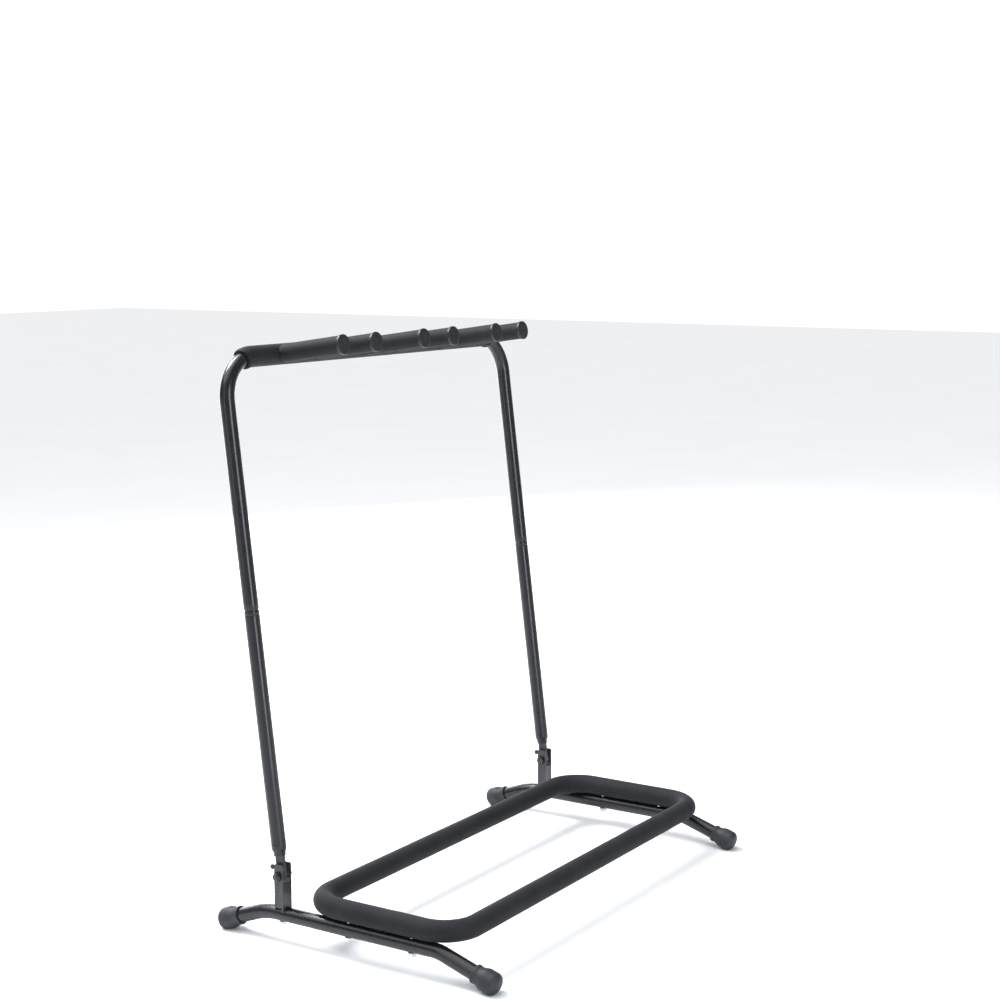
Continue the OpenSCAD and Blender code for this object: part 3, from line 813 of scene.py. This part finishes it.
# A bolt size: thread radius, thread pitch, width of its hexagon across flats, height of its head
M6_R, M6_PITCH, M6_FLATS, M6_HEAD = 3 * MM, MM, 10 * MM, 4 * MM
M5_R, M5_PITCH, M5_FLATS, M5_HEAD = 2.5 * MM, 0.8 * MM, 8 * MM, 3.4 * MM
HEAD_DISH = 0.35 * MM
BRACKET_EDGE = 0.35 * MM
TONGUE_EDGE = 0.5 * MM


def softened(name, width):
    """A CAD node's shape with flat areas cleaned and its hard edges rounded."""
    bm = bmesh.new()
    bm.from_mesh(frame["nodes"][name].data)
    bmesh.ops.remove_doubles(bm, verts=bm.verts, dist=2e-6)
    bmesh.ops.dissolve_limit(bm, angle_limit=math.radians(0.6), verts=bm.verts, edges=bm.edges)
    sharp = math.radians(30)
    hard = [e for e in bm.edges if len(e.link_faces) == 2 and e.calc_face_angle(0) > sharp]
    bmesh.ops.bevel(bm, geom=hard, offset=width, segments=3, profile=0.5, affect="EDGES",
                    clamp_overlap=True)
    bmesh.ops.recalc_face_normals(bm, faces=bm.faces)
    return bm


def hex_radius(angle, flats):
    """Distance from a hexagon's middle to its side in a direction."""
    return flats / 2 / math.cos((angle + math.pi / 6) % (math.pi / 3) - math.pi / 6)


def hex_head(place, start, height, flats, both=False, dish=0.0):
    """A hexagon with turned-down corners, on one end or both, and a shallow dish in its top."""
    sides = 72
    land = flats / 2 * 0.95
    slope = math.tan(math.radians(30))

    def cut(angle):
        return max(0.0, hex_radius(angle, flats) - land) * slope

    angles = [TAU * k / sides for k in range(sides)]
    low = [place.at(a, hex_radius(a, flats), start + (cut(a) if both else 0)) for a in angles]
    high = [place.at(a, hex_radius(a, flats), start + height - cut(a)) for a in angles]
    rings = [[place.at(0, 0, start)]]
    rings.append([place.at(a, land, start) for a in angles])
    rings += [low, high]
    rings.append([place.at(a, land, start + height) for a in angles])
    if dish:
        rings.append([place.at(a, land * 0.62, start + height) for a in angles])
        rings.append([place.at(a, land * 0.55, start + height - dish) for a in angles])
        rings.append([place.at(0, 0, start + height - dish)])
    else:
        rings.append([place.at(0, 0, start + height)])
    return skin(rings)


def threaded(place, start, end, radius, pitch):
    """A threaded stub: one groove that winds round it, with a chamfered tip at its end."""
    sides = 40
    tip = 0.5 * MM
    depth = pitch * 0.5
    count = max(4, round((end - start) / pitch * 6))
    rings = [[place.at(0, 0, start)]]
    for i in range(count + 1):
        h = start + (end - start) * i / count
        ring = []
        for k in range(sides):
            phase = (h / pitch - k / sides) % 1
            r = radius - depth * abs(2 * phase - 1)
            r = min(r, radius - depth + max(0.0, end - h) / tip * depth)
            ring.append(place.at(TAU * k / sides, r, h))
        rings.append(ring)
    rings.append([place.at(0, 0, end)])
    return skin(rings)


def rod(place, start, end, radius):
    """A plain shank with chamfered ends."""
    edge = 0.25 * MM
    profile = [(0, start), (radius - edge, start), (radius, start + edge), (radius, end - edge),
               (radius - edge, end), (0, end)]
    return lathe(profile, place, 48)


def rivet_head(place, start, height, radius):
    """A low dome with a thin straight rim, standing on start and rising by height."""
    rim = height * 0.2
    edge = 0.1 * MM
    steps = 9
    profile = [(0, start), (radius - edge, start), (radius, start + edge)]
    for k in range(steps):
        a = math.radians(90 * k / steps)
        profile.append((radius * math.cos(a), start + rim + (height - rim) * math.sin(a)))
    profile.append((0, start + height))
    return lathe(profile, place, 56)


def along_x(point, outward):
    """A place whose axis runs along X, towards +X when outward is 1 and towards -X when it is -1."""
    return Frame3(point, X_AXIS * outward, Z_AXIS)


def on_pivot(outward):
    """The hinge's axis, from the middle of the rack towards one side."""
    return along_x(Vector((0, PIVOT.y, PIVOT.z)), outward)


def build_pivot_bolts():
    """Bolt heads on the inner sides of the brackets, and threaded ends through the nuts outside."""
    parts = []
    for points in solids("pivot_bolts"):
        place = on_pivot(math.copysign(1, middle(points).x))
        inner, outer = extent(points, place.o, place.w)
        flipped = Frame3(place.o, -place.w, Z_AXIS)
        parts.append(hex_head(flipped, -inner - M6_HEAD, M6_HEAD, M6_FLATS, dish=HEAD_DISH))
        parts.append(rod(place, inner + M6_HEAD - MM, outer - 9 * MM, M6_R))
        parts.append(threaded(place, outer - 10 * MM, outer, M6_R, M6_PITCH))
    piece("pivot_bolt_pair", joined(*parts), "base", DARK_STEEL, ["pivot_bolts"])


def build_pivot_nuts():
    """Lock nuts: a chamfered hexagon with a round collar that holds the nylon ring."""
    collar, collar_r, collar_edge = 1.5 * MM, 4.6 * MM, 0.7 * MM
    ring_r, sunk = 3.1 * MM, 0.5 * MM
    parts = []
    for points in solids("pivot_nuts"):
        place = on_pivot(math.copysign(1, middle(points).x))
        low, high = extent(points, place.o, place.w)
        parts.append(hex_head(place, low, high - low - collar, M6_FLATS, both=True))
        base = high - collar - 0.3 * MM
        profile = ([(0, base), (collar_r, base), (collar_r, base + 0.6 * MM)]
                   + arc(collar_r - collar_edge, high - collar_edge, collar_edge, 0, 90, 5)
                   + [(ring_r + 0.2 * MM, high), (ring_r, high - sunk), (0, high - sunk)])
        parts.append(lathe(profile, place, 56))
    piece("pivot_nut_pair", joined(*parts), "base", DARK_STEEL, ["pivot_nuts"])


def build_pivot_washers():
    """Flat nylon washers between the tongues and the brackets."""
    bore = M6_R + 0.05 * MM
    edge = 0.2 * MM
    parts = []
    for points in solids("pivot_washers"):
        place = on_pivot(1)
        low, high = extent(points, place.o, place.w)
        r = (points[:, 2].max() - points[:, 2].min()) / 2
        profile = [(bore, low), (r - edge, low), (r, low + edge), (r, high - edge),
                   (r - edge, high), (bore, high)]
        parts.append(lathe(profile, place, 56, closed=True))
    piece("pivot_washer_set", joined(*parts), "base", NYLON, ["pivot_washers"])


def build_rivets(node, name, body, shank_r, head_r, head):
    """Pins across the rack's sides, with a low dome on each end."""
    parts = []
    for points in solids(node):
        place = along_x(middle(points), 1)
        low, high = extent(points, place.o, place.w)
        parts.append(rod(place, low + head / 2, high - head / 2, shank_r))
        parts.append(rivet_head(place, high - head, head, head_r))
        parts.append(rivet_head(along_x(place.o, -1), -low - head, head, head_r))
    piece(name, joined(*parts), body, DARK_STEEL, [node])


def build_bracket_bolts():
    """Bolts that hold the brackets on the legs, with their heads up and their threads below."""
    parts = []
    for points in solids("bracket_bolts"):
        place = Frame3(middle(points), Z_AXIS, Y_AXIS)
        low, high = extent(points, place.o, place.w)
        parts.append(hex_head(place, high - M5_HEAD, M5_HEAD, M5_FLATS, dish=0.3 * MM))
        parts.append(rod(place, low + 8 * MM, high - M5_HEAD + 0.5 * MM, M5_R))
        down = Frame3(place.o, -Z_AXIS, Y_AXIS)
        parts.append(threaded(down, -low - 9 * MM, -low, M5_R, M5_PITCH))
    piece("bracket_bolt_pair", joined(*parts), "base", ZINC, ["bracket_bolts"])


def build_bracket_nuts():
    """Plain hexagon nuts under the legs."""
    parts = []
    for points in solids("bracket_nuts"):
        place = Frame3(middle(points), Z_AXIS, X_AXIS)
        low, high = extent(points, place.o, place.w)
        parts.append(hex_head(place, low, high - low, M5_FLATS, both=True))
    piece("bracket_nut_pair", joined(*parts), "base", ZINC, ["bracket_nuts"])


def build_loop_bolts():
    """Hexagon bolts that come up through the legs into the base loop."""
    parts = []
    for points in solids("loop_bolts"):
        place = Frame3(middle(points), Z_AXIS, X_AXIS)
        low, high = extent(points, place.o, place.w)
        down = Frame3(place.o, -Z_AXIS, X_AXIS)
        parts.append(hex_head(down, -low - M6_HEAD, M6_HEAD, M6_FLATS, dish=HEAD_DISH))
        parts.append(rod(place, low + M6_HEAD - MM, high - 8 * MM, M6_R))
        parts.append(threaded(place, high - 9 * MM, high, M6_R, M6_PITCH))
    piece("loop_bolt_set", joined(*parts), "base", ZINC, ["loop_bolts"])


# ---- Scene ----

# The camera looks back along a turn from -Y and a rise above level, at CAMERA_AIM, and is then moved
# sideways and up by CAMERA_RIGHT and CAMERA_UP. Lengths are in metres, and the lens and sensor in mm.
CAMERA_TURN = math.radians(-57.43)
CAMERA_RISE = math.radians(7.96)
CAMERA_DISTANCE = 2.4438
CAMERA_AIM = Vector((0, 0, 0.3))
CAMERA_RIGHT = 0.0085
CAMERA_UP = 0.2045
SENSOR = 36
LENS = 68.76
FLOOR_SIZE = 14
COOL_WHITE = (0.92, 0.95, 1.0)


def build_camera():
    back = Vector((math.sin(CAMERA_TURN) * math.cos(CAMERA_RISE),
                   -math.cos(CAMERA_TURN) * math.cos(CAMERA_RISE), math.sin(CAMERA_RISE)))
    right = (-back).cross(Z_AXIS).normalized()
    up = back.cross(right)
    camera = bpy.data.objects.new("camera", bpy.data.cameras.new("camera"))
    camera.data.lens = LENS
    camera.data.sensor_width = SENSOR
    camera.data.clip_end = 50
    place = CAMERA_AIM + right * CAMERA_RIGHT + up * CAMERA_UP + back * CAMERA_DISTANCE
    camera.matrix_world = Matrix.Translation(place) @ Matrix((right, up, back)).transposed().to_4x4()
    bpy.context.scene.collection.objects.link(camera)
    bpy.context.scene.camera = camera


def area_light(name, place, aim, size, power, tint=COOL_WHITE):
    """A softbox at a place, turned to its aim, that the camera does not see."""
    light = bpy.data.objects.new(name, bpy.data.lights.new(name, "AREA"))
    light.data.shape = "RECTANGLE"
    light.data.size, light.data.size_y = size
    light.data.energy = power
    light.data.color = tint
    direction = Vector(aim) - Vector(place)
    light.matrix_world = Matrix.Translation(place) @ direction.to_track_quat("-Z", "Y").to_matrix().to_4x4()
    light.visible_camera = False
    bpy.context.scene.collection.objects.link(light)


def build_stage():
    """A pale floor, and a world that lights softly but looks white to the camera."""
    bm = bmesh.new()
    bmesh.ops.create_grid(bm, x_segments=2, y_segments=2, size=FLOOR_SIZE)
    mesh = bpy.data.meshes.new("floor")
    bm.to_mesh(mesh)
    bm.free()
    floor = bpy.data.objects.new("floor", mesh)
    bpy.context.scene.collection.objects.link(floor)
    m = Shader("pale_floor")
    m.set(base_color=m.blend(m.mapped(m.noise(3, 4), 0, 1), (0.86, 0.865, 0.87), (0.88, 0.885, 0.89)),
          roughness=0.7)
    floor.data.materials.append(m.material)
    world = bpy.data.worlds.new("studio")
    world.use_nodes = True
    nodes, links = world.node_tree.nodes, world.node_tree.links
    soft = nodes["Background"]
    soft.inputs["Color"].default_value = (0.93, 0.95, 1.0, 1)
    soft.inputs["Strength"].default_value = 0.3
    white = nodes.new("ShaderNodeBackground")
    white.inputs["Color"].default_value = (1, 1, 1, 1)
    white.inputs["Strength"].default_value = 1.05
    shown = nodes.new("ShaderNodeMixShader")
    links.new(nodes.new("ShaderNodeLightPath").outputs["Is Camera Ray"], shown.inputs["Fac"])
    links.new(soft.outputs["Background"], shown.inputs[1])
    links.new(white.outputs["Background"], shown.inputs[2])
    links.new(shown.outputs["Shader"], nodes["World Output"].inputs["Surface"])
    bpy.context.scene.world = world
    bpy.context.scene.view_settings.view_transform = "Standard"


def build_lights():
    area_light("key_softbox", (-1.0, -2.7, 1.0), (0, 0, 0.4), (0.9, 2.0), 48, (0.93, 0.96, 1.0))
    area_light("side_softbox", (-2.7, 0.5, 1.1), (0, 0, 0.4), (0.7, 1.8), 7)
    area_light("back_panel", (1.5, 2.7, 0.9), (0, 0, 0.3), (3.4, 1.8), 70)
    area_light("top_softbox", (-0.2, 1.2, 2.1), (0, 0, 0.05), (0.9, 0.9), 62)
    sun = bpy.data.objects.new("overhead", bpy.data.lights.new("overhead", "SUN"))
    sun.data.energy = 2.6
    sun.data.angle = math.radians(70)
    sun.rotation_euler = (math.radians(-18), math.radians(-14), 0)
    bpy.context.scene.collection.objects.link(sun)


def main():
    finish_cad_nodes()
    build_camera()
    build_stage()
    build_lights()
    build_loop_foam()
    build_crossbar_foam()
    build_upper_frame()
    for i in PEGS:
        build_peg_foam(i)
        build_peg_cap(i)
    for side in SIDES:
        build_cross_leg(side)
        build_lower_upright(side)
        for end in (-1, 1):
            build_foot(side, end)
        piece(f"{side}_bracket_pressed", softened(f"{side}_bracket", BRACKET_EDGE), "base",
              BRACKET_PAINT, [f"{side}_bracket"])
        piece(f"{side}_tongue_bar", softened(f"{side}_tongue", TONGUE_EDGE), "lower_uprights",
              BRACKET_PAINT, [f"{side}_tongue"])
    build_pivot_bolts()
    build_pivot_nuts()
    build_pivot_washers()
    build_rivets("stop_pins", "stop_pin_pair", "base", 1.5 * MM, 2.4 * MM, 1.4 * MM)
    build_rivets("tongue_rivets", "tongue_rivet_pair", "lower_uprights", 2 * MM, 3.2 * MM, 1.3 * MM)
    build_bracket_bolts()
    build_bracket_nuts()
    build_loop_bolts()


main()
